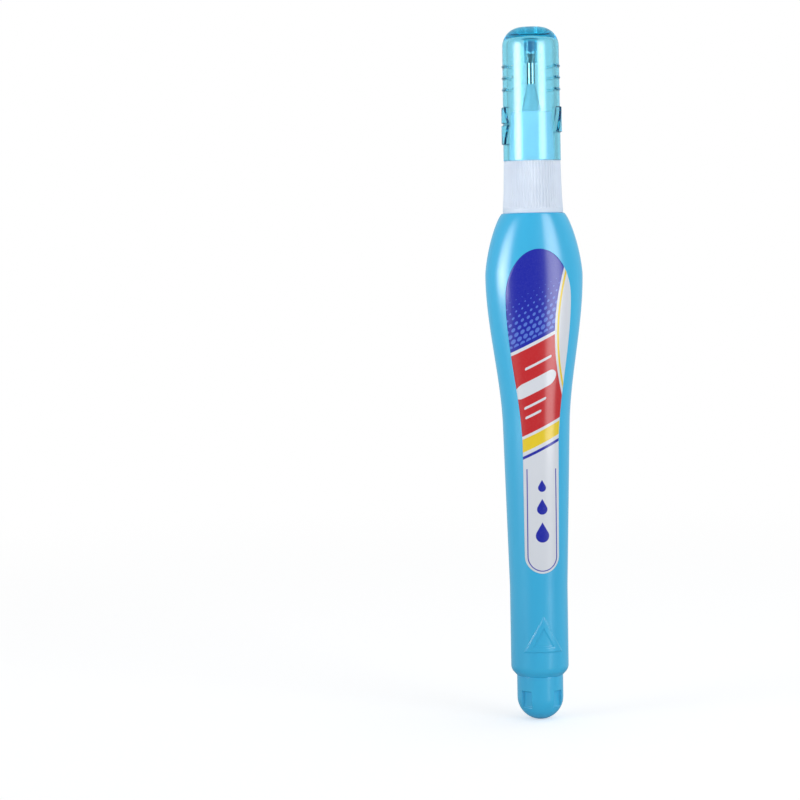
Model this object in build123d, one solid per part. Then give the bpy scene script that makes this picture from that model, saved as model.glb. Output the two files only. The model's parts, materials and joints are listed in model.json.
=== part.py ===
from build123d import *
import math
import os

# Correction pen held upright, cap on. The origin is the lowest point of the domed end, +Z runs up the
# pen's axis towards the cap, -Y is the front with the label and X is the wide way across the barrel.
# Driving dimensions, in millimetres unless a name says degrees or count.

# Barrel: a round foot, a straight taper to the waist, a swell to the oval bulge and a rounded shoulder
foot_diameter = 11.6
foot_length = 17.9
foot_bevel_height = 1.2
foot_bevel_depth = 1.1
taper_length = 32.5
waist_width = 13.4
waist_depth = 12.8
swell_length = 30.0
bulge_width = 19.55
bulge_depth = 14.0
shoulder_length = 12.4
shoulder_diameter = 12.4
barrel_wall = 1.35
neck_length = 7.2
snap_bead_height = 0.2
snap_bead_width = 0.9
snap_bead_rise = 2.2

# Raised triangle on the front of the foot, pointing at the tip
triangle_rise = 5.3
triangle_width = 7.5
triangle_height = 7.0
triangle_bar = 1.05
triangle_relief = 0.2

# End plug: a domed cup whose stem is pressed into the foot, with a stub that seats on the foot's end
plug_stub_length = 4.47
plug_stem_length = 8.0
plug_seat_width = 0.19
plug_wall = 1.3
plug_bead_height = 0.15
plug_bead_width = 1.4
notch_count = 4
notch_width = 2.2
notch_length = 3.2
notch_rise = 1.45
notch_depth = 0.75
notch_turn_degrees = 43.5

# Label film on the front: round foot, narrow tongue, flare and arched top
label_film = 0.12
label_rise = 3.25
label_tongue_width = 6.9
label_neck_width = 7.2
label_neck_drop = 4.85
label_width = 13.1
label_arch_drop = 4.25
label_arch_height = 9.6

# Collar: ribbed skirt over the neck and a plain nose inside the cap
collar_foot_diameter = 12.0
collar_flare_diameter = 11.6
collar_flare_height = 3.8
collar_top_diameter = 11.25
collar_band_height = 0.9
collar_wall = 1.0
collar_deck = 2.9
rib_count = 60
rib_depth = 0.18
nose_height = 9.75
nose_draft = 0.45
nose_edge_radius = 0.5
nose_bead_height = 0.06
nose_bead_width = 0.8
seal_skirt_length = 3.1

# Metal tip: a flange in the nose, a cone and a slim tube with a seat for the needle at its mouth
tip_seat_depth = 2.25
tip_flange_length = 2.8
tip_flange_ledge = 0.38
tip_neck_diameter = 3.9
tip_neck_exposed = 0.35
tip_cone_length = 5.1
tip_tube_diameter = 1.6
tip_tube_length = 6.0
tip_wall = 0.2
tip_base_wall = 0.8
tip_base_bore_length = 4.4
mouth_length = 0.35
mouth_seat_length = 0.35
mouth_edge = 0.15

# Valve needle, its coil spring and the plug that the spring stands on
needle_pin_diameter = 0.66
needle_reach = 0.4
needle_flange_diameter = 2.6
needle_flange_thickness = 0.6
needle_flange_gap = 0.3
needle_tail_diameter = 0.8
spring_space = 4.2
spring_wire = 0.26
spring_coil_diameter = 2.2
spring_turn_count = 5
seat_thickness = 2.0
seat_slot_count = 3
seat_slot_width = 0.9
seat_slot_depth = 0.75

# Mixing ball, loose inside the barrel
ball_diameter = 5.0

# Cap: a clear shell with a thick roof, a tube that seals the tip, grip ribs and side lugs
cap_mouth_diameter = 11.4
cap_draft = 0.1
cap_wall = 1.08
cap_roof = 2.1
cap_corner_radius = 3.8
cap_seal_wall = 0.44
cap_seal_grip = 2.5
cap_seal_solid = 2.5
grip_rib_count = 3
grip_rib_rise = 14.1
grip_rib_pitch = 2.3
grip_rib_height = 0.35
grip_rib_relief = 0.18
grip_rib_arc_degrees = 84.0
lug_relief = 0.33
lug_rise = 3.3
lug_low_length = 3.8
lug_gap = 0.35
lug_short_length = 3.2
lug_long_length = 5.05
lug_narrow_width = 3.2
lug_middle_width = 5.7
lug_wide_width = 7.2

# Clearances between pieces, measured on the radius or along the axis
press_gap = 0.02
slide_gap = 0.06
cap_gap = 0.09
valve_gap = 0.15
contact_gap = 0.03
neck_end_gap = 0.3
cap_seal_gap = 0.25

# Heights along the axis, from the domed end up
foot_radius = foot_diameter / 2
plug_bore_radius = foot_radius - barrel_wall
plug_radius = plug_bore_radius + plug_seat_width
stem_radius = plug_bore_radius - press_gap
cup_radius = stem_radius - plug_wall
barrel_base = plug_radius + plug_stub_length
plug_top = barrel_base + plug_stem_length
taper_base = barrel_base + foot_length
waist_height = taper_base + taper_length
bulge_height = waist_height + swell_length
shoulder_height = bulge_height + shoulder_length
neck_top = shoulder_height + neck_length
deck_base = neck_top + neck_end_gap
collar_top = deck_base + collar_deck
skirt_end = deck_base - seal_skirt_length
nose_top = collar_top + nose_height
tip_seat = nose_top - tip_seat_depth
tip_base = tip_seat - tip_flange_length
cone_base = nose_top + tip_neck_exposed
tube_base = cone_base + tip_cone_length
tip_end = tube_base + tip_tube_length
needle_end = tip_end + needle_reach
flange_top = tip_base - needle_flange_gap
flange_base = flange_top - needle_flange_thickness
seat_top = flange_base - spring_space
seat_base = seat_top - seat_thickness
seal_bore_top = needle_end + cap_seal_gap
seal_end = seal_bore_top - cap_seal_grip
cap_ceiling = seal_bore_top + cap_seal_solid
cap_top = cap_ceiling + cap_roof

# Radii that two pieces share
cap_mouth_radius = cap_mouth_diameter / 2
nose_bead_radius = cap_mouth_radius - cap_wall - cap_gap
nose_base_radius = nose_bead_radius - nose_bead_height
socket_radius = collar_top_diameter / 2 - rib_depth - collar_wall
neck_radius = socket_radius - slide_gap
neck_bore_radius = neck_radius - barrel_wall
skirt_radius = neck_bore_radius - slide_gap
tip_neck_radius = tip_neck_diameter / 2
valve_bore_radius = tip_neck_radius + tip_flange_ledge
valve_fit_radius = valve_bore_radius - press_gap
tube_radius = tip_tube_diameter / 2
tip_bore_radius = tube_radius - tip_wall
pin_radius = needle_pin_diameter / 2
tail_radius = needle_tail_diameter / 2

# Shape of the lofts and of the shoulder's curve, and points measured along a turn of the spring
SECTIONS_PER_SPAN = 8
SHOULDER_ROUND = 1.5
SHOULDER_FULLNESS = 0.75
POINTS_PER_TURN = 40


def turned(points):
    """Solid of revolution about Z from (radius, height) points."""
    return revolve(make_face(Plane.XZ * Polyline(*points, close=True)), Axis.Z)


def ring(outer_radius, inner_radius, base, top):
    """Plain ring about Z between two heights."""
    return turned([(inner_radius, base), (outer_radius, base), (outer_radius, top), (inner_radius, top)])


def disc(radius, base, top):
    """Plain cylinder about Z between two heights."""
    return Pos(0, 0, base) * Cylinder(radius, top - base, align=(Align.CENTER, Align.CENTER, Align.MIN))


def mix(low, high, share):
    """Value at a share of the way from low to high."""
    return low + (high - low) * share


def swell_size(foot, waist, bulge, share):
    """Size across the swell: a cubic that leaves the taper on its slope and is upright at the bulge."""
    slope = (waist - foot) * swell_length / taper_length
    step = share * share * (3 - 2 * share)
    return mix(waist, bulge, step) + slope * share * (1 - share) ** 2


def shoulder_size(bulge, share):
    """Size across the shoulder: (1 - u^1.5)^0.75, a soft corner that turns over into the flat top."""
    return mix(shoulder_diameter, bulge, (1 - share**SHOULDER_ROUND) ** SHOULDER_FULLNESS)


def barrel_spans():
    """Oval sections of the taper, the swell and the shoulder, each with its share of the shoulder."""
    shares = [index / SECTIONS_PER_SPAN for index in range(SECTIONS_PER_SPAN + 1)]
    taper = [(taper_base, foot_diameter, foot_diameter, 0), (waist_height, waist_width, waist_depth, 0)]
    swell = []
    shoulder = []
    for share in shares:
        width = swell_size(foot_diameter, waist_width, bulge_width, share)
        depth = swell_size(foot_diameter, waist_depth, bulge_depth, share)
        swell.append((mix(waist_height, bulge_height, share), width, depth, 0))
        height = mix(bulge_height, shoulder_height, share)
        shoulder.append((height, shoulder_size(bulge_width, share), shoulder_size(bulge_depth, share), share))
    return taper, swell, shoulder


def oval_loft(span, inset):
    """Loft through a span's sections, drawn in by inset and lowered by it where the shoulder is flat."""
    sections = []
    for height, width, depth, share in span:
        side = inset * (1 - share / 2)
        oval = scale(Circle(1), by=(width / 2 - side, depth / 2 - side, 1))
        sections.append(Pos(0, 0, height - inset * share) * oval)
    return loft(sections)


def barrel_skin(inset):
    """Body of the barrel above the foot, drawn in by inset, or swollen where inset is negative."""
    taper, swell, shoulder = barrel_spans()
    return oval_loft(taper, inset) + oval_loft(swell, inset) + oval_loft(shoulder, inset)


def front_prism(outline):
    """Solid swept towards the front, -Y, from an outline drawn with X across and Z up."""
    return extrude(Plane.XZ * outline, bulge_depth)


def raised_triangle():
    """Triangular frame that stands proud of the foot's front."""
    base = barrel_base + triangle_rise
    half = triangle_width / 2
    outline = make_face(Polyline((-half, base), (half, base), (0, base + triangle_height), close=True))
    frame = outline - offset(outline, -triangle_bar, kind=Kind.INTERSECTION)
    skin = ring(foot_radius + triangle_relief, foot_radius - barrel_wall / 2, barrel_base, taper_base)
    return front_prism(frame) & skin


def plug_bead(gap):
    """Ring that holds the plug in the foot, or with a gap the groove that it snaps into."""
    middle = barrel_base + plug_stem_length / 2
    half = plug_bead_width / 2 + gap
    root = stem_radius - plug_wall / 2
    return turned(
        [
            (root, middle - half),
            (stem_radius + gap, middle - half),
            (stem_radius + plug_bead_height + gap, middle),
            (stem_radius + gap, middle + half),
            (root, middle + half),
        ]
    )


def make_barrel():
    """Squeezable bottle: foot with a bevelled end, oval body, and a neck with a snap bead."""
    foot = turned(
        [
            (0, barrel_base),
            (foot_radius - foot_bevel_depth, barrel_base),
            (foot_radius, barrel_base + foot_bevel_height),
            (foot_radius, taper_base),
            (0, taper_base),
        ]
    )
    bead_middle = shoulder_height + snap_bead_rise
    neck = turned(
        [
            (0, shoulder_height),
            (neck_radius, shoulder_height),
            (neck_radius, bead_middle - snap_bead_width / 2),
            (neck_radius + snap_bead_height, bead_middle),
            (neck_radius, bead_middle + snap_bead_width / 2),
            (neck_radius, neck_top),
            (0, neck_top),
        ]
    )
    cavity = barrel_skin(barrel_wall) + disc(plug_bore_radius, barrel_base, taper_base)
    cavity += disc(neck_bore_radius, shoulder_height - barrel_wall, neck_top)
    return foot + barrel_skin(0) + neck - cavity - plug_bead(press_gap) + raised_triangle()


def make_end_plug():
    """Domed cup, open upwards, with notches round the dome and a snap bead."""
    dome = Pos(0, 0, plug_radius)
    cup = disc(plug_radius, plug_radius, barrel_base) + dome * Sphere(plug_radius)
    cup += disc(stem_radius, barrel_base, plug_top) + plug_bead(0)
    cup -= disc(cup_radius, plug_radius, plug_top) + dome * Sphere(cup_radius)
    notch = Pos(plug_radius - notch_depth, 0, plug_radius + notch_rise) * Box(
        2 * notch_depth, notch_width, notch_length, align=(Align.MIN, Align.CENTER, Align.MAX)
    )
    for index in range(notch_count):
        cup -= Rot(0, 0, notch_turn_degrees - 90 + index * 360 / notch_count) * notch
    return cup


def label_outline():
    """Front outline of the label: round foot, straight tongue, flare and an elliptical arch."""
    foot_half = label_tongue_width / 2
    neck_half = label_neck_width / 2
    arch_half = label_width / 2
    foot_height = taper_base + label_rise + foot_half
    neck_height = waist_height - label_neck_drop
    arch_base = bulge_height - label_arch_drop
    down = (0, -1)
    arch = EllipticalCenterArc((0, arch_base), arch_half, label_arch_height, arc_size=180)
    foot = ThreePointArc((-foot_half, foot_height), (0, foot_height - foot_half), (foot_half, foot_height))
    edges = [arch, foot]
    for side in (-1, 1):
        neck = (side * neck_half, neck_height)
        edges.append(Spline((side * arch_half, arch_base), neck, tangents=(down, down)))
        edges.append(Line(neck, (side * foot_half, foot_height)))
    return make_face(edges)


def make_front_label():
    """Printed film that lies on the barrel's front."""
    return (front_prism(label_outline()) & barrel_skin(-label_film)) - barrel_skin(0)


def toothed_face(height, diameter):
    """Flat face with one pointed tooth for each rib."""
    points = []
    for index in range(2 * rib_count):
        angle = math.pi * index / rib_count
        reach = diameter / 2 - rib_depth * (index % 2)
        points.append((reach * math.cos(angle), reach * math.sin(angle)))
    return Pos(0, 0, height) * make_face(Polyline(*points, close=True))


def make_collar():
    """White tip holder: ribbed skirt over the neck, nose for the cap and a bore for the valve."""
    band_top = shoulder_height + collar_band_height
    band = disc(collar_foot_diameter / 2, shoulder_height, band_top)
    teeth = [
        toothed_face(band_top, collar_foot_diameter),
        toothed_face(shoulder_height + collar_flare_height, collar_flare_diameter),
        toothed_face(collar_top, collar_top_diameter),
    ]
    bead_base = collar_top + nose_bead_width
    nose = turned(
        [
            (0, collar_top),
            (nose_base_radius, collar_top),
            (nose_base_radius, bead_base),
            (nose_bead_radius, bead_base + nose_bead_width / 2),
            (nose_base_radius, bead_base + nose_bead_width),
            (nose_base_radius - nose_draft, nose_top),
            (0, nose_top),
        ]
    )
    nose = fillet(nose.edges().filter_by(GeomType.CIRCLE).group_by(Axis.Z)[-1], nose_edge_radius)
    bead_middle = shoulder_height + snap_bead_rise
    bead_half = snap_bead_width / 2 + slide_gap
    socket = turned(
        [
            (skirt_radius, shoulder_height),
            (socket_radius, shoulder_height),
            (socket_radius, bead_middle - bead_half),
            (socket_radius + snap_bead_height, bead_middle),
            (socket_radius, bead_middle + bead_half),
            (socket_radius, deck_base),
            (skirt_radius, deck_base),
        ]
    )
    collar = band + loft(teeth, ruled=True) + nose - socket
    collar -= disc(socket_radius, shoulder_height, skirt_end)
    collar -= disc(valve_bore_radius, shoulder_height, tip_seat)
    return collar - disc(tip_neck_radius + press_gap, tip_seat, nose_top)


def mouth_seat_height(radius):
    """Height at which the tapered seat behind the tip's mouth has a radius."""
    mouth_radius = pin_radius + slide_gap
    share = (tip_bore_radius - radius) / (tip_bore_radius - mouth_radius)
    return tip_end - mouth_length - mouth_seat_length * (1 - share)


def make_metal_tip():
    """Stepped metal nozzle with a cone, a slim tube and a tapered seat behind its mouth."""
    base_bore_radius = valve_fit_radius - tip_base_wall
    mouth_radius = pin_radius + slide_gap
    return turned(
        [
            (base_bore_radius, tip_base),
            (valve_fit_radius, tip_base),
            (valve_fit_radius, tip_seat),
            (tip_neck_radius, tip_seat),
            (tip_neck_radius, cone_base),
            (tube_radius, tube_base),
            (tube_radius, tip_end - mouth_edge),
            (tube_radius - mouth_edge, tip_end),
            (mouth_radius, tip_end),
            (mouth_radius, mouth_seat_height(mouth_radius)),
            (tip_bore_radius, mouth_seat_height(tip_bore_radius)),
            (tip_bore_radius, tube_base),
            (base_bore_radius, tip_base + tip_base_bore_length),
        ]
    )


def make_valve_needle():
    """Needle that closes the mouth: pin, shoulder, shank, flange and a tail inside the spring."""
    shank_radius = tip_bore_radius - valve_gap
    flange_radius = needle_flange_diameter / 2
    tail_end = seat_top - seat_thickness / 2
    return turned(
        [
            (0, tail_end),
            (tail_radius, tail_end),
            (tail_radius, flange_base),
            (flange_radius, flange_base),
            (flange_radius, flange_top),
            (shank_radius, flange_top),
            (shank_radius, mouth_seat_height(shank_radius + slide_gap)),
            (pin_radius, mouth_seat_height(pin_radius + slide_gap)),
            (pin_radius, needle_end - pin_radius / 2),
            (pin_radius / 2, needle_end),
            (0, needle_end),
        ]
    )


def helix_point(radius, pitch, base, angle):
    """Point on a right-hand helix about Z and its unit tangent."""
    point = Vector(radius * math.cos(angle), radius * math.sin(angle), base + pitch * angle / (2 * math.pi))
    tangent = Vector(-radius * math.sin(angle), radius * math.cos(angle), pitch / (2 * math.pi))
    return point, tangent.normalized()


def biarc(start, start_tangent, end, end_tangent):
    """Two tangent arcs from start to end with equal tangent lengths."""
    chord = end - start
    spread = 2 * (1 - start_tangent.dot(end_tangent))
    along = chord.dot(start_tangent + end_tangent)
    reach = (math.sqrt(along * along + spread * chord.dot(chord)) - along) / spread
    middle = (start + end + (start_tangent - end_tangent) * reach) * 0.5
    first = TangentArc(start, middle, tangent=start_tangent)
    return [first, TangentArc(middle, end, tangent=first % 1)]


def make_valve_spring():
    """Coil spring between the seat and the needle's flange, one unbroken wire."""
    wire_radius = spring_wire / 2
    radius = spring_coil_diameter / 2 - wire_radius
    base = seat_top + wire_radius + contact_gap
    pitch = (spring_space - spring_wire - 2 * contact_gap) / spring_turn_count
    arcs = []
    for quarter in range(4 * spring_turn_count):
        start = helix_point(radius, pitch, base, quarter * math.pi / 2)
        end = helix_point(radius, pitch, base, (quarter + 1) * math.pi / 2)
        arcs += biarc(*start, *end)
    path = Wire(arcs)
    steps = POINTS_PER_TURN * spring_turn_count
    points = [path @ (step / steps) for step in range(steps + 1)]
    apart = POINTS_PER_TURN // 2
    least = min(math.dist(low, high) for place, low in enumerate(points) for high in points[place + apart :])
    print("valve spring: least gap between turns", round(least - spring_wire, 3), "mm")
    return sweep(Plane(path @ 0, z_dir=path % 0) * Circle(wire_radius), path=path)


def make_spring_seat():
    """Plug in the valve bore that carries the spring, slotted so that fluid can pass."""
    seat = disc(valve_fit_radius, seat_base, seat_top)
    seat -= disc(tail_radius + valve_gap, seat_base, seat_top)
    slot = Pos(valve_fit_radius - seat_slot_depth, 0, seat_base) * Box(
        2 * seat_slot_depth, seat_slot_width, seat_thickness, align=(Align.MIN, Align.CENTER, Align.MIN)
    )
    for index in range(seat_slot_count):
        seat -= Rot(0, 0, index * 360 / seat_slot_count) * slot
    return seat


def make_mixing_ball():
    """Loose steel ball, at rest in the bottom of the end plug's cup."""
    radius = ball_diameter / 2
    return Pos(0, 0, plug_radius - cup_radius + contact_gap + radius) * Sphere(radius)


def cap_radius(height):
    """Outer radius of the cap's tapered side at a height."""
    return cap_mouth_radius - cap_draft * (height - collar_top) / (cap_top - collar_top)


def cap_band(relief, base, top):
    """Ring on the cap's side between two heights that stands out by relief, rooted in the wall."""
    root = cap_wall / 2
    return turned(
        [
            (cap_radius(base) - root, base),
            (cap_radius(base) + relief, base),
            (cap_radius(top) + relief, top),
            (cap_radius(top) - root, top),
        ]
    )


def cap_lug(side, base, length, base_width, top_width):
    """Flat lug on one side of the cap, side -1 or 1 along X, with a tapering outline."""
    top = base + length
    outline = Polyline(
        (-base_width / 2, base),
        (base_width / 2, base),
        (top_width / 2, top),
        (-top_width / 2, top),
        close=True,
    )
    return cap_band(lug_relief, base, top) & extrude(Plane.YZ * make_face(outline), side * cap_mouth_diameter)


def grip_rib(middle):
    """Pair of short ribs round the two sides of the cap at one height."""
    band = cap_band(grip_rib_relief, middle - grip_rib_height / 2, middle + grip_rib_height / 2)
    reach = cap_mouth_diameter * math.sin(math.radians(grip_rib_arc_degrees / 2))
    return band & Pos(0, 0, middle) * Box(2 * cap_mouth_diameter, reach, 2 * grip_rib_height)


def cap_shell():
    """Turned shell of the cap with its rounded top, before anything is added to it."""
    corner_base = cap_top - cap_corner_radius
    side_top = (cap_radius(corner_base), corner_base)
    flat_radius = cap_radius(corner_base) - cap_corner_radius
    turn = cap_corner_radius * math.sqrt(0.5)
    outline = [
        Line((0, collar_top), (cap_mouth_radius, collar_top)),
        Line((cap_mouth_radius, collar_top), side_top),
        ThreePointArc(side_top, (flat_radius + turn, corner_base + turn), (flat_radius, cap_top)),
        Line((flat_radius, cap_top), (0, cap_top)),
        Line((0, cap_top), (0, collar_top)),
    ]
    hollow = turned(
        [
            (0, collar_top),
            (cap_mouth_radius - cap_wall, collar_top),
            (cap_radius(cap_ceiling) - cap_wall, cap_ceiling),
            (0, cap_ceiling),
        ]
    )
    return revolve(Plane.XZ * make_face(outline), Axis.Z) - hollow


def make_cap():
    """Clear pull-off cap with a sealing tube under its roof, grip ribs and side lugs."""
    seal_bore_radius = tube_radius + slide_gap
    cap = cap_shell() + disc(seal_bore_radius + cap_seal_wall, seal_end, cap_ceiling)
    cap -= disc(seal_bore_radius, seal_end, seal_bore_top)
    for index in range(grip_rib_count):
        cap += grip_rib(collar_top + grip_rib_rise + index * grip_rib_pitch)
    low_base = collar_top + lug_rise
    short_base = low_base + lug_low_length + lug_gap
    long_base = short_base + lug_short_length - lug_long_length
    cap += cap_lug(-1, low_base, lug_low_length, lug_narrow_width, lug_middle_width)
    cap += cap_lug(-1, short_base, lug_short_length, lug_middle_width, lug_narrow_width)
    return cap + cap_lug(1, long_base, lug_long_length, lug_wide_width, lug_narrow_width)


PIECES = {
    "barrel": make_barrel,
    "end_plug": make_end_plug,
    "front_label": make_front_label,
    "collar": make_collar,
    "metal_tip": make_metal_tip,
    "valve_needle": make_valve_needle,
    "valve_spring": make_valve_spring,
    "spring_seat": make_spring_seat,
    "mixing_ball": make_mixing_ball,
    "cap": make_cap,
}

os.makedirs("parts", exist_ok=True)
for name, make in PIECES.items():
    export_step(make(), f"parts/{name}.step")
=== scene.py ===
import json
import math
from collections import namedtuple
from functools import partial

import bmesh
import bpy
import numpy as np
from bpy.props import FloatProperty, FloatVectorProperty, IntProperty, PointerProperty
from mathutils import Matrix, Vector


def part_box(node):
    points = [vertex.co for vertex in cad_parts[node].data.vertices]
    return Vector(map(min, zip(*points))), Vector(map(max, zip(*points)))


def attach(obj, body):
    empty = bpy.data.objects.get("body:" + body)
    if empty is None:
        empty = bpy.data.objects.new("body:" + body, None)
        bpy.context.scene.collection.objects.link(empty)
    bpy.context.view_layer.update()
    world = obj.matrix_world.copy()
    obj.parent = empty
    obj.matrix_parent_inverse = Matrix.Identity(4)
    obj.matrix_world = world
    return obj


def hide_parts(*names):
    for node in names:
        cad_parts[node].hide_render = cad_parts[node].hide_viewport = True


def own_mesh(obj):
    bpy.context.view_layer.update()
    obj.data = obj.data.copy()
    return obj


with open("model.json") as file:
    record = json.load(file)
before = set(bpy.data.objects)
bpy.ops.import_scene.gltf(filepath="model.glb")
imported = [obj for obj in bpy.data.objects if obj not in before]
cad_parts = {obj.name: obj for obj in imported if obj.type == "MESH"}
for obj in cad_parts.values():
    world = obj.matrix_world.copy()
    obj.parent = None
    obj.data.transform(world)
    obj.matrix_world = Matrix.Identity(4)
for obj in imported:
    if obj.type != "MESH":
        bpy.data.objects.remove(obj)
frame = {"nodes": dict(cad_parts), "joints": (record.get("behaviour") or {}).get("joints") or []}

bl_info = {
    "name": "Correction Pen Dressing",
    "version": (1, 0, 0),
    "blender": (4, 5, 0),
    "location": "View3D > Sidebar > Pen",
    "description": "Visible surfaces, finishes and studio of a correction pen with a clear cap",
    "category": "Object",
}

# The pen stands along +Z with its domed end at the origin, and its label faces -Y. Lengths are metres.
MM = 0.001
TURN = 2.0 * math.pi
FRONT = -0.5 * math.pi
BOX = {name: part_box(name) for name in frame["nodes"]}
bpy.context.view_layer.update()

# Fineness of the surfaces
CORNER_SHARES = np.linspace(0.0, 1.0, 7)
SUPPORT = 1.3
MERGE = 1e-8

Levels = namedtuple("Levels", "foot taper waist bulge shoulder neck")
Lug = namedtuple("Lug", "side foot top foot_half top_half")
Softbox = namedtuple("Softbox", "name bearing distance height width tall spread power")

# Lugs on the cap's left (-1) and right (1): heights above its mouth and half widths, in millimetres
LUGS = (
    Lug(-1.0, 3.3, 7.1, 1.6, 2.85),
    Lug(-1.0, 7.45, 10.65, 2.85, 1.6),
    Lug(1.0, 5.6, 10.65, 3.6, 1.6),
)

# The label's print, in millimetres above its foot: bands (ink, low, high) and white bars (centre, half
# length, radius) on the slant, and drops (height, radius)
PRINT_EDGE = 0.05
SLANT = 0.5
BANDS = (("yellow", 26.0, 28.6), ("red", 29.2, 46.2), ("blue", 46.9, 90.0), ("blue", 24.6, 25.2))
BARS = (
    ((-0.9, 38.2), 2.6, 1.45),
    ((-0.4, 42.3), 2.4, 0.26),
    ((-1.1, 34.6), 1.9, 0.26),
    ((-1.5, 32.6), 1.3, 0.26),
)
DROPS = ((7.6, 1.35), (12.9, 1.05), (17.2, 0.8))

# Softboxes: bearing from the camera and spread in degrees, lengths in metres, power in watts
SOFTBOXES = (
    Softbox("softbox_left", -58.0, 0.55, 0.25, 0.50, 0.42, 50.0, 0.45),
    Softbox("softbox_right", 46.0, 0.60, 0.19, 0.46, 0.42, 66.0, 0.39),
    Softbox("softbox_low", 44.0, 0.60, -0.12, 0.20, 0.20, 180.0, 0.10),
)
WHITE = (1.0, 1.0, 1.0)
BLACK = (0.0, 0.0, 0.0)


def length(millimetres, text):
    """Length setting whose default is written in millimetres."""
    size = millimetres * MM
    return partial(FloatProperty, description=text, default=size, min=0.0, precision=5, unit="LENGTH")


def angle(degrees, text):
    """Angle setting whose default is written in degrees."""
    return partial(FloatProperty, description=text, default=math.radians(degrees), subtype="ANGLE")


def share(value, text):
    """Setting from 0 to 1."""
    return partial(FloatProperty, description=text, default=value, min=0.0, max=1.0, subtype="FACTOR")


def number(value, text):
    """Setting for a number of things."""
    return partial(IntProperty, description=text, default=value, min=1)


def colour(red, green, blue, text):
    """Linear colour setting."""
    tint = (red, green, blue)
    return partial(FloatVectorProperty, description=text, default=tint, min=0.0, max=1.0, subtype="COLOR")


def named(group):
    """Makes the properties of a settings group, each named after its attribute in words."""
    for attribute, setting in group.__annotations__.items():
        group.__annotations__[attribute] = setting(name=attribute.replace("_", " ").capitalize())
    return group


@named
class BarrelSettings(bpy.types.PropertyGroup):
    """Sizes and colours of the squeezable barrel."""

    foot_diameter: length(11.6, "Width of the round foot")
    foot_length: length(17.9, "Length of the straight foot")
    bevel_height: length(1.2, "Height of the bevel at the foot's end")
    bevel_depth: length(1.1, "How far the bevel draws the foot in")
    taper_length: length(32.5, "Length from the foot to the waist")
    waist_width: length(13.4, "Width where the swell begins")
    waist_depth: length(12.8, "Depth where the swell begins")
    swell_length: length(30.0, "Length from the waist to the bulge")
    shoulder_length: length(12.4, "Length from the bulge to the collar")
    shoulder_diameter: length(12.4, "Width of the shoulder under the collar")
    wall: length(1.35, "Thickness of the plastic")
    neck_diameter: length(8.77, "Width of the neck inside the collar")
    triangle_rise: length(5.3, "Height of the raised triangle above the foot's end")
    triangle_width: length(7.5, "Width of the raised triangle")
    triangle_height: length(7.0, "Height of the raised triangle")
    triangle_bar: length(1.05, "Width of the triangle's bars")
    triangle_relief: length(0.2, "How far the triangle stands out")
    edge_round: length(0.8, "Rounding of the bevel's outer corner")
    plastic: colour(0.042, 0.53, 0.88, "Sky blue of the barrel")
    plastic_deep: colour(0.038, 0.49, 0.84, "Sky blue where the plastic is a little denser")


@named
class PlugSettings(bpy.types.PropertyGroup):
    """Sizes of the end plug."""

    stem_diameter: length(8.86, "Width of the stem inside the foot")
    wall: length(1.3, "Thickness of the cup")
    notch_count: number(4, "Number of notches round the dome")
    notch_turn: angle(43.5, "Turn of the first notch from the front")
    notch_width: length(2.2, "Width of a notch")
    notch_length: length(3.2, "Length of a notch along the pen")
    notch_rise: length(1.45, "How far a notch reaches above the dome's centre")
    notch_depth: length(0.75, "Depth of a notch")


@named
class LabelSettings(bpy.types.PropertyGroup):
    """Sizes and print colours of the label."""

    tongue_width: length(6.9, "Width of the label's round foot")
    neck_width: length(7.2, "Width of the tongue where the flare begins")
    neck_drop: length(4.85, "How far the flare begins below the barrel's waist")
    arch_drop: length(4.25, "How far the arch begins below the bulge")
    arch_height: length(9.6, "Height of the arched top")
    film: length(0.12, "Thickness of the film")
    blue: colour(0.008, 0.012, 0.42, "Deep blue of the print")
    pale_blue: colour(0.10, 0.20, 0.72, "Lighter blue of the dots")
    red: colour(0.62, 0.012, 0.014, "Red of the print")
    yellow: colour(0.90, 0.66, 0.012, "Yellow of the print")
    white: colour(0.76, 0.79, 0.85, "Unprinted film")


@named
class CollarSettings(bpy.types.PropertyGroup):
    """Sizes and colour of the ribbed collar."""

    flare_diameter: length(11.6, "Width where the foot's flare ends")
    flare_height: length(3.8, "Height where the foot's flare ends")
    top_diameter: length(11.25, "Width at the cap's mouth")
    band_height: length(0.9, "Plain band under the ribs")
    rib_count: number(60, "Number of ribs round the collar")
    rib_depth: length(0.18, "Depth of the grooves between ribs")
    socket_diameter: length(8.89, "Width of the socket over the neck")
    skirt_diameter: length(5.95, "Width of the skirt inside the neck")
    bore_diameter: length(4.66, "Width of the valve's bore")
    skirt_end: length(4.4, "Height of the skirt's lower end above the collar's foot")
    deck_height: length(7.5, "Height of the deck over the neck")
    nose_base_diameter: length(8.94, "Width of the nose inside the cap's mouth")
    nose_tip_diameter: length(8.04, "Width of the nose at its top")
    tip_hole_diameter: length(3.94, "Hole for the metal tip")
    tip_seat_depth: length(2.25, "Depth of the metal tip's seat under the nose's top")
    plastic: colour(0.745, 0.83, 0.975, "Cool white of the collar")


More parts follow.
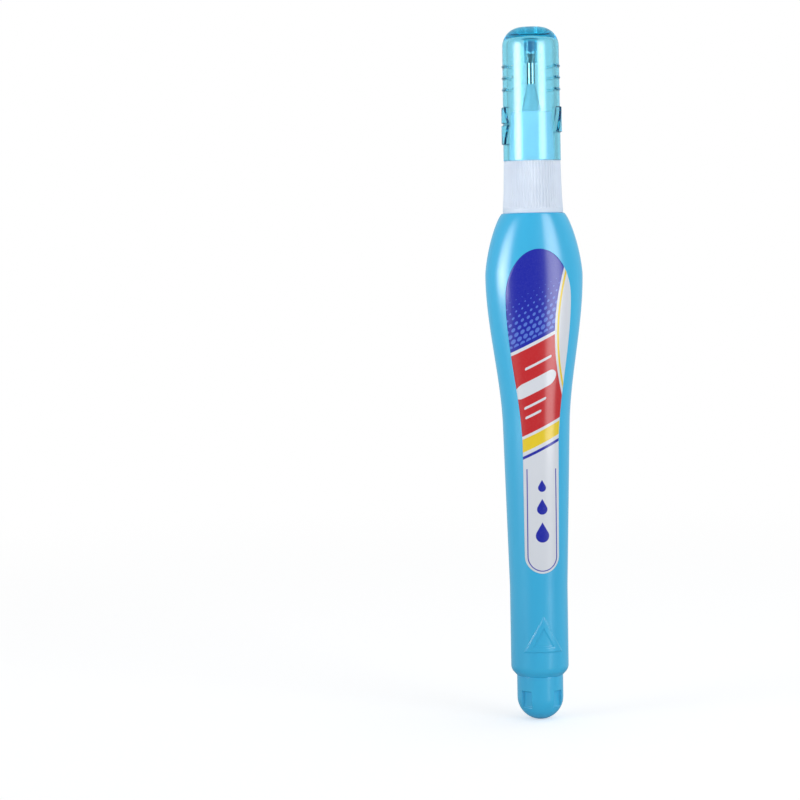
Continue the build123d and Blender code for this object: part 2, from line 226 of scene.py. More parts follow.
@named
class TipSettings(bpy.types.PropertyGroup):
    """Sizes and colours of the metal tip, its needle and its spring."""

    neck_diameter: length(3.9, "Width of the tip's neck in the nose")
    tube_diameter: length(1.6, "Width of the slim tube")
    tube_length: length(6.0, "Length of the slim tube")
    cone_length: length(5.1, "Length of the cone")
    flange_length: length(2.8, "Length of the flange inside the nose")
    bore_diameter: length(1.2, "Bore of the slim tube")
    mouth_diameter: length(0.78, "Bore of the tip's mouth")
    pin_diameter: length(0.66, "Width of the needle's pin")
    shank_diameter: length(0.9, "Width of the needle's shank")
    tail_diameter: length(0.8, "Width of the needle's tail")
    wire: length(0.26, "Thickness of the spring's wire")
    coil_turns: number(5, "Turns of the spring")
    nickel: colour(0.80, 0.81, 0.82, "Bright metal of the tip")
    satin: colour(0.46, 0.62, 0.69, "Blasted metal of the cone")
    # Painted dark reflection on the tube's front line and flanks, and painted shade on its gripped end
    dulled: colour(0.05, 0.10, 0.11, "Dark metal of the tube's seam, flanks and gripped end")
    steel: colour(0.62, 0.63, 0.65, "Drawn steel of the needle and spring")


@named
class CapSettings(bpy.types.PropertyGroup):
    """Sizes and tint of the clear cap."""

    mouth_diameter: length(11.4, "Outer width at the mouth")
    draft: length(0.1, "How much the side draws in up to the top")
    wall: length(1.08, "Thickness of the side")
    roof: length(2.1, "Thickness of the roof")
    corner_radius: length(3.8, "Rounding of the top")
    seal_diameter: length(2.6, "Outer width of the sealing tube")
    seal_bore: length(1.72, "Bore of the sealing tube")
    seal_solid: length(2.5, "Solid root of the sealing tube")
    seal_grip: length(2.5, "Hollow length of the sealing tube")
    rib_rise: length(14.1, "Height of the lowest grip rib above the mouth")
    rib_pitch: length(2.3, "Distance between grip ribs")
    rib_height: length(0.35, "Height of a grip rib")
    rib_relief: length(0.18, "How far a grip rib stands out")
    rib_arc: angle(84.0, "Arc of a grip rib round each side")
    lug_relief: length(0.33, "How far a lug stands out")
    surface: colour(0.80, 0.91, 0.965, "What each face of the plastic lets through")
    # Painted shade: colour of a dark streak down the middle of the sealing tube's solid root
    core: colour(0.015, 0.24, 0.45, "What each face of the sealing tube's solid root lets through")
    tint: colour(0.058, 0.80, 0.90, "Colour the plastic keeps as light goes through it")
    tint_density: partial(FloatProperty, description="Absorption per metre", default=450.0, min=0.0)


@named
class StageSettings(bpy.types.PropertyGroup):
    """Camera and light."""

    lens: partial(FloatProperty, description="Focal length", default=107.9, min=1.0, unit="CAMERA")
    camera_side: length(27.25, "How far the camera stands to the left of the pen")
    camera_distance: length(480.0, "How far the camera stands in front of the pen")
    camera_height: length(95.9, "Height of the camera")
    camera_pitch: angle(3.675, "How far the camera looks down")
    camera_roll: angle(-1.09, "Roll of the camera")
    camera_turn: angle(-5.5, "Turn of the camera about the pen from the label's front")
    ambient: share(0.5, "Even light from all round")
    lean: share(0.4, "How much more even light comes from the right than the left")
    room: colour(0.13, 0.22, 0.29, "Studio behind the camera as reflections show it")
    surround: colour(0.40, 0.62, 0.74, "Surround beyond the pen as reflections show it")
    cards: share(0.3, "How dark the two cards look that mark the edges of the clear cap")
    bounces: number(32, "How often light turns inside the clear cap")
    floor: colour(0.86, 0.87, 0.88, "Colour of the floor")


def mix(low, high, portion):
    """Value at a portion of the way from low to high."""
    return low + (high - low) * portion


def ease(value, low, high):
    """3s^2 - 2s^3 of the portion s of the way from low to high, held at 0 and 1 outside."""
    portion = np.clip((value - low) / (high - low), 0.0, 1.0)
    return portion * portion * (3.0 - 2.0 * portion)


def bump(value, low, high, ramp):
    """1 between low and high and 0 outside, eased over a ramp centred on each end."""
    return ease(value, low - ramp / 2, low + ramp / 2) - ease(value, high - ramp / 2, high + ramp / 2)


def without_repeats(line):
    """Line of points with each point that repeats the one before it left out."""
    steps = np.linalg.norm(np.diff(line, axis=0), axis=1)
    return line[np.append(True, steps > MERGE)]


def rounded(corners):
    """Open line of (radius, height) points from corners (radius, height, reach), the reach in millimetres.

    A corner C turns on (1-t)^2 A + 2t(1-t) C + t^2 B, where A and B lie one reach before and after it.
    A further point each side holds the straight runs straight.
    """
    corners = np.asarray(corners, float)
    points = corners[:, :2]
    reach = corners[:, 2:] * MM
    runs = np.diff(points, axis=0)
    runs /= np.linalg.norm(runs, axis=1, keepdims=True)
    back = reach * np.vstack([runs[:1], runs])
    ahead = reach * np.vstack([runs, runs[-1:]])
    t = CORNER_SHARES[:, None, None]
    arcs = (1 - t) ** 2 * (points - back) + 2 * t * (1 - t) * points + t**2 * (points + ahead)
    line = np.concatenate([(points - SUPPORT * back)[None], arcs, (points + SUPPORT * ahead)[None]])
    return without_repeats(line.transpose(1, 0, 2).reshape(-1, 2))


def arc(centre, radius, start, end, count):
    """Points (radius, height) on a circle about a centre, from a start to an end angle in degrees."""
    turn = np.radians(np.linspace(start, end, count))
    return np.stack([centre[0] + radius * np.cos(turn), centre[1] + radius * np.sin(turn)], axis=1)


def divided(line, longest):
    """Line with each run cut evenly into steps of at most the longest, its own points kept."""
    runs = np.linalg.norm(np.diff(line, axis=0), axis=1)
    counts = np.maximum(np.ceil(runs / longest).astype(int), 1)
    run = np.repeat(np.arange(len(runs)), counts)
    portion = (np.arange(counts.sum()) - np.repeat(np.cumsum(counts) - counts, counts)) / counts[run]
    return np.vstack([line[run] + (line[run + 1] - line[run]) * portion[:, None], line[-1:]])


def gathered_turns(count, centre, waves, pull):
    """Angles s - pull sin(waves (s - centre)) / waves, which gather round the centre and its repeats."""
    even = centre + even_turns(count)
    return even - pull * np.sin(waves * (even - centre)) / waves


def oval_rings(width, depth, height, turns):
    """Grid (a cos t, b sin t, z) of oval rings with half widths a and half depths b at heights z."""
    x = np.outer(width, np.cos(turns))
    y = np.outer(depth, np.sin(turns))
    return np.stack([x, y, np.outer(height, np.ones_like(turns))], axis=-1)


def revolved(line, turns):
    """Grid of a line of (radius, height) points carried round the axis through the angles."""
    radius, height = line.T
    return oval_rings(radius, radius, height, turns)


def even_turns(count):
    """Angles of a whole turn in even steps."""
    return np.arange(count) * TURN / count


def pushed(grid, relief):
    """Grid with each point moved out from the axis by its relief."""
    radius = np.hypot(grid[..., 0], grid[..., 1])
    scale = 1.0 + relief / np.maximum(radius, MERGE)
    return np.stack([grid[..., 0] * scale, grid[..., 1] * scale, grid[..., 2]], axis=-1)


def grid_mesh(name, grid, wrap_rows):
    """Mesh of quads over a grid whose columns run round, with coinciding points at the poles merged."""
    rows, columns = grid.shape[:2]
    index = np.arange(rows * columns).reshape(rows, columns)
    index = np.hstack([index, index[:, :1]])
    if wrap_rows:
        index = np.vstack([index, index[:1]])
    quads = np.stack([index[:-1, :-1], index[:-1, 1:], index[1:, 1:], index[1:, :-1]], axis=-1)
    mesh = bpy.data.meshes.new(name)
    mesh.from_pydata(grid.reshape(-1, 3), [], quads.reshape(-1, 4))
    work = bmesh.new()
    work.from_mesh(mesh)
    bmesh.ops.remove_doubles(work, verts=work.verts, dist=MERGE)
    work.to_mesh(mesh)
    work.free()
    mesh.shade_smooth()
    return mesh


def add_piece(name, grid, finish, body, node, wrap_rows=False):
    """Object made from a grid that stands for a node and rides on its body."""
    piece = bpy.data.objects.new(name, grid_mesh(name, grid, wrap_rows))
    piece.data.materials.append(finish)
    bpy.context.scene.collection.objects.link(piece)
    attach(piece, body)
    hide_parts(node)
    return piece


def halves(settings, *names):
    """Half of each diameter that is named in a settings group."""
    return [getattr(settings, f"{name}_diameter") / 2 for name in names]


def finish_node(name, finish):
    """Gives a node of the frame its finish."""
    materials = frame["nodes"][name].data.materials
    materials.clear()
    materials.append(finish)


def both_ways(operation):
    """Methods of an arithmetic operator and of its reflected form."""

    def plain(self, other):
        return self.tree.math(operation, self, other)

    def reflected(self, other):
        return self.tree.math(operation, other, self)

    return plain, reflected


class Value:
    """A shader socket that takes part in Python arithmetic: each operation adds one Math node."""

    __add__, __radd__ = both_ways("ADD")
    __sub__, __rsub__ = both_ways("SUBTRACT")
    __mul__, __rmul__ = both_ways("MULTIPLY")
    __truediv__, __rtruediv__ = both_ways("DIVIDE")

    def __init__(self, tree, socket):
        self.tree = tree
        self.socket = socket

    def __abs__(self):
        return self.tree.math("ABSOLUTE", self)


class ShaderTree:
    """Node tree of a finish or of the world, filled by one method for nodes and one for arithmetic."""

    def __init__(self, owner):
        owner.use_nodes = True
        self.owner = owner
        self.nodes = owner.node_tree.nodes
        self.links = owner.node_tree.links
        self.nodes.clear()

    def node(self, kind, sockets=None, output=0, **settings):
        """Adds a shader node, sets its settings, then its sockets' values or links, and gives one output."""
        made = self.nodes.new("ShaderNode" + kind)
        for name, setting in settings.items():
            setattr(made, name, setting)
        for name, given in (sockets or {}).items():
            socket = made.inputs[name]
            if isinstance(given, Value):
                self.links.new(given.socket, socket)
            elif socket.type == "RGBA":
                socket.default_value = (*given, 1.0)
            else:
                socket.default_value = given
        return Value(self, made.outputs[output]) if len(made.outputs) else made

    def math(self, operation, *operands):
        """Math node on values and numbers."""
        return self.node("Math", dict(enumerate(operands)), operation=operation)

    def ease(self, value, low, high):
        """0 below low and 1 above high, eased between them."""
        sockets = {"Value": value, "From Min": low, "From Max": high}
        return self.node("MapRange", sockets, interpolation_type="SMOOTHSTEP")

    def band(self, value, low, high, soft):
        """1 between low and high, with soft edges."""
        return self.ease(value, low - soft, low + soft) - self.ease(value, high - soft, high + soft)

    def blend(self, mask, first, second):
        """Colour that goes from first to second with a mask."""
        return self.node("Mix", {0: mask, 6: first, 7: second}, 2, data_type="RGBA")

    def distance(self, x, y):
        """Length of (x, y)."""
        return self.math("SQRT", x * x + y * y)

    def parts(self, vector):
        """X, Y and Z of a vector."""
        made = self.node("SeparateXYZ", {0: vector}).socket.node
        return [Value(self, output) for output in made.outputs]

    def millimetres(self):
        """X, Y and Z of the object's own coordinates, in millimetres."""
        place = self.node("TexCoord", output="Object")
        return self.parts(self.node("VectorMath", {0: place, "Scale": 1.0 / MM}, operation="SCALE"))

    def noise(self, size, detail, stretch=1.0):
        """Noise from 0 to 1 whose lumps have a size in millimetres, drawn out along the pen by a stretch."""
        place = self.node("TexCoord", output="Object")
        scale = (1.0 / (size * MM), 1.0 / (size * MM), 1.0 / (size * stretch * MM))
        spread = self.node("VectorMath", {0: place, 1: scale}, operation="MULTIPLY")
        return self.node("TexNoise", {"Vector": spread, "Scale": 1.0, "Detail": detail})

    def relief(self, height, depth):
        """Normal of a height from 0 to 1 that is a depth in millimetres deep."""
        return self.node("Bump", {"Strength": 1.0, "Distance": depth * MM, "Height": height})

    def plastic(self, sockets):
        """Principled shader with its sockets."""
        return self.node("BsdfPrincipled", sockets)

    def show(self, surface, volume=None):
        """Output of a material, with a volume where it has one."""
        sockets = {"Surface": surface}
        if volume is not None:
            sockets["Volume"] = volume
        self.node("OutputMaterial", sockets)
        return self.owner


def new_finish(name):
    """Empty tree of a new material."""
    return ShaderTree(bpy.data.materials.new(name))


def dimmed(tint, portion):
    """Colour times a portion."""
    return [portion * channel for channel in tint]


def barrel_finish(settings):
    """Glossy moulded sky-blue plastic: broad cloudy colour, drawn-out flow marks and a faint skin."""
    tree = new_finish("barrel_plastic")
    cloud = tree.noise(14.0, 2.0, 2.5)
    flow = tree.noise(1.6, 2.0, 12.0)
    skin = tree.noise(0.9, 2.0)
    tone = tree.ease(cloud * 0.7 + flow * 0.3, 0.3, 0.7)
    return tree.show(tree.plastic({
        "Base Color": tree.blend(tone, settings.plastic_deep, settings.plastic),
        "Roughness": 0.30 + flow * 0.08,
        "IOR": 1.48,
        "Coat Weight": 0.85 + cloud * 0.1,
        "Coat Roughness": 0.16,
        "Coat IOR": 1.6,
        "Normal": tree.relief(skin, 0.004),
    }))


def collar_finish(settings):
    """Cool white moulded plastic, a little translucent, with a fine skin."""
    tree = new_finish("collar_plastic")
    cloud = tree.noise(5.0, 2.0)
    skin = tree.noise(0.5, 2.0)
    deep = dimmed(settings.plastic, 0.95)
    return tree.show(tree.plastic({
        "Base Color": tree.blend(tree.ease(cloud, 0.3, 0.7), deep, settings.plastic),
        "Roughness": 0.34 + skin * 0.08,
        "IOR": 1.49,
        "Subsurface Weight": 0.25,
        "Subsurface Radius": (1.0, 1.0, 1.0),
        "Subsurface Scale": 0.5 * MM,
        "Normal": tree.relief(skin, 0.003),
    }))


def cap_finish(settings):
    """Clear plastic that tints by its depth, with faint handling marks in its shine and a painted shade
    streak in the sealing tube's solid root.
    """
    tree = new_finish("cap_plastic")
    marks = tree.noise(2.2, 3.0, 4.0)
    x, y, z = tree.millimetres()
    # Painted shade: a dark streak down the middle of the sealing tube's solid root, facing front and back
    core = (1.0 - tree.ease(tree.distance(x, y), 1.4, 1.6)) * (1.0 - tree.ease(abs(x), 0.45, 0.8))
    root = (BOX["cap"][1].z - settings.roof - settings.seal_solid) / MM
    solid = tree.band(z, root - 0.2, root + settings.seal_solid / MM - 0.5, 0.3)
    clear = tree.plastic({
        "Base Color": tree.blend(core * solid, settings.surface, settings.core),
        "Roughness": 0.05 + tree.ease(marks, 0.45, 0.8) * 0.05,
        "IOR": 1.49,
        "Coat Weight": 0.5 + marks * 0.1,
        "Coat Roughness": 0.16,
        "Coat IOR": 1.4,
        "Transmission Weight": 1.0,
    })
    passing = tree.node("BsdfTransparent", {"Color": (0.95, 0.98, 0.97)})
    path = tree.node("LightPath", output="Is Shadow Ray")
    surface = tree.node("MixShader", {0: path, 1: clear, 2: passing})
    depth = {"Color": settings.tint, "Density": settings.tint_density}
    return tree.show(surface, tree.node("VolumeAbsorption", depth))


def tip_finish(settings):
    """Nickel tip: blasted satin up to the cone's end, then a bright drawn tube.

    The tube has a painted dark reflection in a thin line down its front and on both flanks, and painted
    shade at the end that the cap's sealing tube grips.
    """
    tree = new_finish("tip_nickel")
    x, y, z = tree.millimetres()
    cloud = tree.noise(0.5, 2.0)
    tube_end = BOX["metal_tip"][1].z / MM
    tube_base = tube_end - settings.tube_length / MM
    drawn = tree.ease(z, tube_base - 0.15, tube_base + 0.05)
    # Painted shade on the end of the tube that the cap's sealing tube grips
    gripped = tree.ease(z, tube_end - 1.9, tube_end - 1.7)
    # Painted dark reflection: a thin dark line down the tube's front, and dark flanks on both sides
    painted_reflection_line = (1.0 - tree.ease(abs(x + 0.1), 0.12, 0.24)) * (1.0 - tree.ease(y, -0.1, 0.0))
    flanks = tree.ease(abs(x), 0.5, 0.65)
    bright = tree.blend(tree.ease(cloud, 0.35, 0.65), dimmed(settings.nickel, 0.94), settings.nickel)
    metal = tree.blend(drawn, settings.satin, bright)
    metal = tree.blend(tree.math("MAXIMUM", painted_reflection_line, flanks) * drawn, metal, settings.dulled)
    polish = drawn * (1.0 - gripped)
    return tree.show(tree.plastic({
        "Base Color": tree.blend(gripped, metal, settings.dulled),
        "Metallic": 0.5 + polish * 0.5,
        "Roughness": 0.55 - polish * 0.33 + cloud * 0.04,
        "Normal": tree.relief(cloud, 0.002),
    }))


def turned_metal(name, tint, roughness, ring_pitch):
    """Bright metal with fine turned rings and a cloudy polish."""
    tree = new_finish(name)
    z = tree.millimetres()[2]
    cloud = tree.noise(0.8, 2.0)
    rings = 0.5 + 0.5 * tree.math("SINE", (z + cloud * 0.1) * (TURN / ring_pitch))
    return tree.show(tree.plastic({
        "Base Color": tree.blend(tree.ease(cloud, 0.35, 0.65), dimmed(tint, 0.9), tint),
        "Metallic": 1.0,
        "Roughness": roughness + cloud * 0.06 + rings * 0.03,
        "Normal": tree.relief(rings, 0.0008),
    }))


def capsule(tree, x, y, centre, half, radius):
    """Mask of a bar with round ends: the distance from (x, y) to a level segment is under the radius."""
    across = tree.math("MAXIMUM", abs(x - centre[0]) - half, 0.0)
    return 1.0 - tree.ease(tree.distance(across, y - centre[1]), radius - PRINT_EDGE, radius + PRINT_EDGE)


def droplet(tree, x, y, centre, radius):
    """Mask of a drop: a circle and the cone of tangents from a point two radii above its centre."""
    along = y - centre
    circle = 1.0 - tree.ease(tree.distance(x, along), radius - PRINT_EDGE, radius + PRINT_EDGE)
    slope = math.radians(30.0)
    side = abs(x) * math.cos(slope) - (2.0 * radius - along) * math.sin(slope)
    above = tree.ease(along, radius / 2 - PRINT_EDGE, radius / 2 + PRINT_EDGE)
    return tree.math("MAXIMUM", circle, (1.0 - tree.ease(side, -PRINT_EDGE, PRINT_EDGE)) * above)


def dots(tree, x, slant):
    """Mask of rows of dots, every other row half a pitch along, which shrink away up the film."""
    pitch = 1.15
    row = tree.math("FLOOR", slant / pitch)
    cell_x = tree.math("FRACT", x / pitch + row * 0.5) - 0.5
    cell_y = tree.math("FRACT", slant / pitch) - 0.5
    size = 0.40 * (1.0 - tree.ease(slant, 47.5, 60.0))
    return tree.ease(size - tree.distance(cell_x, cell_y), -0.04, 0.04) * tree.ease(slant, 47.6, 47.7)


def border(tree, x, y):
    """Mask of a thin line inside the film's round foot and a little way up its sides."""
    foot_centre = 3.4
    below = tree.math("MINIMUM", y - foot_centre, 0.0)
    return tree.band(tree.distance(x, below), 2.78, 2.98, PRINT_EDGE) * (1.0 - tree.ease(y, 20.9, 21.0))


def printed_ink(tree, settings):
    """Colour of the print: slanting bands, dots, bars, a crescent edged in yellow, drops and a border."""
    x, z = tree.millimetres()[::2]
    y = z - BOX["front_label"][0].z / MM
    slant = y - SLANT * x
    ink = settings.white
    for name, low, high in BANDS:
        ink = tree.blend(tree.band(slant, low, high, PRINT_EDGE), ink, getattr(settings, name))
    ink = tree.blend(dots(tree, x, slant), ink, settings.pale_blue)
    for centre, half, radius in BARS:
        ink = tree.blend(capsule(tree, x, slant, centre, half, radius), ink, settings.white)
    middle_height, middle_side, bend = 47.0, 3.0, 0.011
    along = y - middle_height
    crescent = x - (middle_side + along * along * bend)
    ink = tree.blend(tree.ease(crescent, -PRINT_EDGE, PRINT_EDGE), ink, settings.white)
    ink = tree.blend(tree.band(crescent, 0.45, 0.85, PRINT_EDGE), ink, settings.yellow)
    for centre, radius in DROPS:
        ink = tree.blend(droplet(tree, x, y, centre, radius), ink, settings.blue)
    return tree.blend(border(tree, x, y), ink, settings.blue)


def label_finish(settings):
    """Glossy printed film with a fine grain and a slight waviness."""
    tree = new_finish("label_print")
    ink = printed_ink(tree, settings)
    grain = tree.noise(0.35, 2.0)
    wave = tree.noise(4.0, 1.0)
    return tree.show(tree.plastic({
        "Base Color": tree.blend(tree.ease(grain, 0.35, 0.75) * 0.015, ink, settings.white),
        "Roughness": 0.26 + grain * 0.06,
        "IOR": 1.5,
        "Coat Weight": 0.5 + wave * 0.1,
        "Coat Roughness": 0.08,
        "Normal": tree.relief(wave, 0.01),
    }))


def barrel_levels(barrel):
    """Heights of the foot's end, the taper's start, the waist, the bulge, the shoulder and the neck."""
    foot = BOX["barrel"][0].z
    taper = foot + barrel.foot_length
    waist = taper + barrel.taper_length
    bulge = waist + barrel.swell_length
    return Levels(foot, taper, waist, bulge, bulge + barrel.shoulder_length, BOX["barrel"][1].z)


def body_size(barrel, height, waist_size, bulge_size):
    """Half size of the barrel's body at heights, from its sizes at the waist and the bulge.

    Straight from foot to waist; waist to bulge on 3s^2 - 2s^3 plus slope s (1-s)^2, which leaves the taper
    smoothly; bulge to shoulder on (1 - u^1.5)^0.75, a soft corner that turns over into a flat top.
    """
    levels = barrel_levels(barrel)
    t = (height - levels.taper) / barrel.taper_length
    s = np.clip((height - levels.waist) / barrel.swell_length, 0.0, 1.0)
    u = np.clip((height - levels.bulge) / barrel.shoulder_length, 0.0, 1.0)
    slope = (waist_size - barrel.foot_diameter) * barrel.swell_length / barrel.taper_length
    swell = mix(waist_size, bulge_size, s * s * (3 - 2 * s)) + slope * s * (1 - s) ** 2
    round_over = mix(barrel.shoulder_diameter, bulge_size, (1 - u**1.5) ** 0.75)
    size = np.where(height < levels.waist, mix(barrel.foot_diameter, waist_size, t), swell)
    return np.where(height < levels.bulge, size, round_over) / 2


def body_halves(barrel, height):
    """Half width and half depth of the barrel's body at heights."""
    low, high = BOX["barrel"]
    width = body_size(barrel, height, barrel.waist_width, high.x - low.x)
    return width, body_size(barrel, height, barrel.waist_depth, 2 * high.y)


def eased_heights(low, high, count):
    """Heights from low to high that gather towards both ends."""
    return mix(low, high, (1 - np.cos(np.linspace(0.0, math.pi, count))) / 2)


def triangle_relief(barrel, x, z):
    """Height of the raised triangle: full where the distance in from its edges is between 0 and a bar."""
    rise = z - barrel_levels(barrel).foot - barrel.triangle_rise
    half = barrel.triangle_width / 2
    tall = barrel.triangle_height
    side = (half * (1 - rise / tall) - np.abs(x)) * tall / math.hypot(half, tall)
    return barrel.triangle_relief * bump(np.minimum(rise, side), 0.0, barrel.triangle_bar, 0.24 * MM)


def foot_line(barrel, levels):
    """Points (radius, height) round the foot's bevel and up its side, in fine steps at the triangle."""
    foot = barrel.foot_diameter / 2
    bevel_top = levels.foot + barrel.bevel_height
    mark = levels.foot + barrel.triangle_rise
    mark_top = mark + barrel.triangle_height
    margin = 0.5 * MM
    end = rounded([
        (foot - barrel.wall, levels.foot, 0.0), (foot - barrel.bevel_depth, levels.foot, 0.1),
        (foot, bevel_top, barrel.edge_round / MM), (foot, bevel_top + 1.2 * MM, 0.0),
    ])
    side = np.concatenate([
        np.arange(bevel_top + 1.5 * MM, mark - margin, 0.4 * MM),
        np.arange(mark - margin, mark_top + margin, 0.1 * MM),
        np.linspace(mark_top + 0.6 * MM, levels.taper, 10),
    ])
    return np.vstack([end, np.stack([np.full_like(side, foot), side], axis=1)])


def neck_line(barrel, levels):
    """Points (radius, height) from the shoulder up the neck, over its rim and down its bore."""
    neck = barrel.neck_diameter / 2
    bore = neck - barrel.wall
    return rounded([
        (neck + 0.3 * MM, levels.shoulder, 0.0), (neck, levels.shoulder, 0.2), (neck, levels.neck, 0.2),
        (bore, levels.neck, 0.2), (bore, levels.shoulder - barrel.wall, 0.0),
    ])


def hollow_rings(barrel, levels):
    """Half widths, half depths and heights down the hollow, a wall in from the body, to the foot's bore."""
    bore = barrel.foot_diameter / 2 - barrel.wall
    height = np.concatenate([
        eased_heights(levels.shoulder, levels.bulge, 20),
        np.linspace(levels.bulge, levels.waist, 16)[1:],
        np.linspace(levels.waist, levels.taper, 8)[1:],
    ])
    over = np.clip((height - levels.bulge) / barrel.shoulder_length, 0.0, 1.0)
    width, depth = body_halves(barrel, height) - barrel.wall * (1 - over / 2)
    hollow = np.stack([width, depth, height - barrel.wall * over], axis=1)
    return np.vstack([hollow, [(bore, bore, levels.taper - 0.5 * MM)]])


def barrel_grid(barrel):
    """Closed shell of oval rings: foot with its raised triangle, body, neck and the hollow inside."""
    levels = barrel_levels(barrel)
    foot = foot_line(barrel, levels)
    body = np.concatenate([
        np.linspace(levels.taper, levels.waist, 32)[1:],
        np.linspace(levels.waist, levels.bulge, 40)[1:],
        eased_heights(levels.bulge, levels.shoulder, 56)[1:],
    ])
    section = np.vstack([
        foot[:, [0, 0, 1]],
        np.stack([*body_halves(barrel, body), body], axis=1),
        neck_line(barrel, levels)[:, [0, 0, 1]],
        hollow_rings(barrel, levels),
    ])
    grid = oval_rings(*section.T, gathered_turns(208, FRONT, waves=1, pull=0.7))
    face = grid[:len(foot)]
    relief = np.where(face[..., 1] < 0, triangle_relief(barrel, face[..., 0], face[..., 2]), 0.0)
    grid[:len(foot)] = pushed(face, relief)
    return grid


def plug_line(plug, radius, seat):
    """Points (radius, height) from the dome's pole up the stub, round the stem and down the hollow."""
    top = BOX["end_plug"][1].z
    stem = plug.stem_diameter / 2
    cup = stem - plug.wall
    side = rounded([
        (radius, radius, 0.0), (radius, seat, 0.12), (stem, seat, 0.0),
        (stem, top, 0.3), (cup, top, 0.3), (cup, radius, 0.0),
    ])
    rim = np.argmax(side[:, 1] >= seat)
    dome = arc((0.0, radius), radius, -90.0, 0.0, 56)
    hollow = arc((0.0, radius), cup, 0.0, -90.0, 24)
    stub = divided(side[:rim + 1], 0.12 * MM)
    return without_repeats(np.vstack([dome[:-1], stub, side[rim:], hollow[1:]]))


def plug_grid(plug):
    """Domed cup turned about the axis; each notch presses the points in its outline in to a flat floor."""
    radius = BOX["end_plug"][1].x
    seat = BOX["barrel"][0].z
    line = plug_line(plug, radius, seat)
    outside = np.arange(len(line)) < np.argmax(line[:, 1] >= seat)
    grid = revolved(line, even_turns(320))
    floor = radius - plug.notch_depth
    notch_top = radius + plug.notch_rise
    ramp = 0.14 * MM
    for notch in even_turns(plug.notch_count):
        turn = FRONT + plug.notch_turn + notch
        out = grid[..., 0] * math.cos(turn) + grid[..., 1] * math.sin(turn)
        across = grid[..., 1] * math.cos(turn) - grid[..., 0] * math.sin(turn)
        mask = bump(across, -plug.notch_width / 2, plug.notch_width / 2, ramp)
        mask = mask * bump(grid[..., 2], notch_top - plug.notch_length, notch_top, ramp) * outside[:, None]
        sink = mask * np.maximum(out - floor, 0.0)
        grid = grid - sink[..., None] * np.array([math.cos(turn), math.sin(turn), 0.0])
    return grid


def label_rows(label, barrel):
    """Heights of the label's rows and its half widths: round foot, straight tongue, eased flare and arch."""
    low, high = BOX["front_label"]
    levels = barrel_levels(barrel)
    foot_half = label.tongue_width / 2
    neck_half = label.neck_width / 2
    arch_half = high.x
    foot = low.z + foot_half
    neck = levels.waist - label.neck_drop
    arch = levels.bulge - label.arch_drop
    turn = np.radians(np.linspace(0.0, 90.0, 26))
    along = np.linspace(0.0, 1.0, 24)[1:]
    flare = np.linspace(0.0, 1.0, 32)[1:]
    height = np.concatenate([
        foot - foot_half * np.cos(turn),
        mix(foot, neck, along),
        mix(neck, arch, flare),
        arch + label.arch_height * np.sin(turn[1:]),
    ])
    half = np.concatenate([
        foot_half * np.sin(turn),
        mix(foot_half, neck_half, along),
        mix(neck_half, arch_half, ease(flare, 0.0, 1.0)),
        arch_half * np.cos(turn[1:]),
    ])
    return height, half


def label_grid(label, barrel):
    """Film on the barrel's front: y = -(b + f) sqrt(1 - x^2 / (a + f)^2), thinned at its edge."""
    height, half = label_rows(label, barrel)
    width, depth = body_halves(barrel, height)
    across = np.sin(np.linspace(-0.5, 0.5, 49) * math.pi)
    x = np.outer(half, np.concatenate([across, across[-2:0:-1]]))
    edge = np.abs(half[:, None]) - np.abs(x)
    film = label.film * ease(edge, 0.0, 0.14 * MM)
    film[:, len(across):] = 0.0
    sunk = 0.03 * MM
    reach = film - sunk * (edge < MERGE)
    reach[:, len(across):] -= sunk
    oval = np.clip(1 - (x / (width[:, None] + reach)) ** 2, 0.0, 1.0)
    y = -(depth[:, None] + reach) * np.sqrt(oval)
    return np.stack([x, y, np.outer(height, np.ones(x.shape[1]))], axis=-1)


def collar_line(collar, mouth):
    """Closed section: skirt, flare up to the cap's mouth, nose, tip's hole, valve's bore and socket."""
    low, high = BOX["collar"]
    base = low.z
    foot = high.x
    flare, top, nose, nose_tip = halves(collar, "flare", "top", "nose_base", "nose_tip")
    hole, bore, skirt, socket = halves(collar, "tip_hole", "bore", "skirt", "socket")
    seat = high.z - collar.tip_seat_depth
    skirt_end = base + collar.skirt_end
    deck = base + collar.deck_height
    bead = mouth + 1.2 * MM
    line = rounded([
        (socket, base, 0.0), (foot, base, 0.22), (foot, base + collar.band_height, 0.3),
        (flare, base + collar.flare_height, 1.0), (top, mouth, 0.12), (nose, mouth, 0.15),
        (nose, bead - 0.4 * MM, 0.1), (nose + 0.06 * MM, bead, 0.2), (nose, bead + 0.4 * MM, 0.1),
        (nose_tip, high.z, 0.5), (hole, high.z, 0.1), (hole, seat, 0.05), (bore, seat, 0.05),
        (bore, skirt_end, 0.2), (skirt, skirt_end, 0.2), (skirt, deck, 0.1), (socket, deck, 0.1),
        (socket, base, 0.0),
    ])
    return divided(line[:-1], 1.0 * MM)


def collar_grid(collar):
    """Turned collar whose outside is r - depth (1 - |sin(n t / 2)|): round ribs with narrow grooves."""
    mouth = BOX["cap"][0].z
    line = collar_line(collar, mouth)
    radius, height = line.T
    turns = even_turns(collar.rib_count * 8)
    groove = 1.0 - np.sqrt(np.sin(turns * collar.rib_count / 2) ** 2 + 0.01)
    band = BOX["collar"][0].z + collar.band_height
    outside = (height < mouth + MERGE) & (radius > (collar.nose_base_diameter + collar.top_diameter) / 4)
    ribbed = ease(height, band - 0.1 * MM, band + 0.35 * MM) * outside
    return pushed(revolved(line, turns), -collar.rib_depth * np.outer(ribbed, groove))


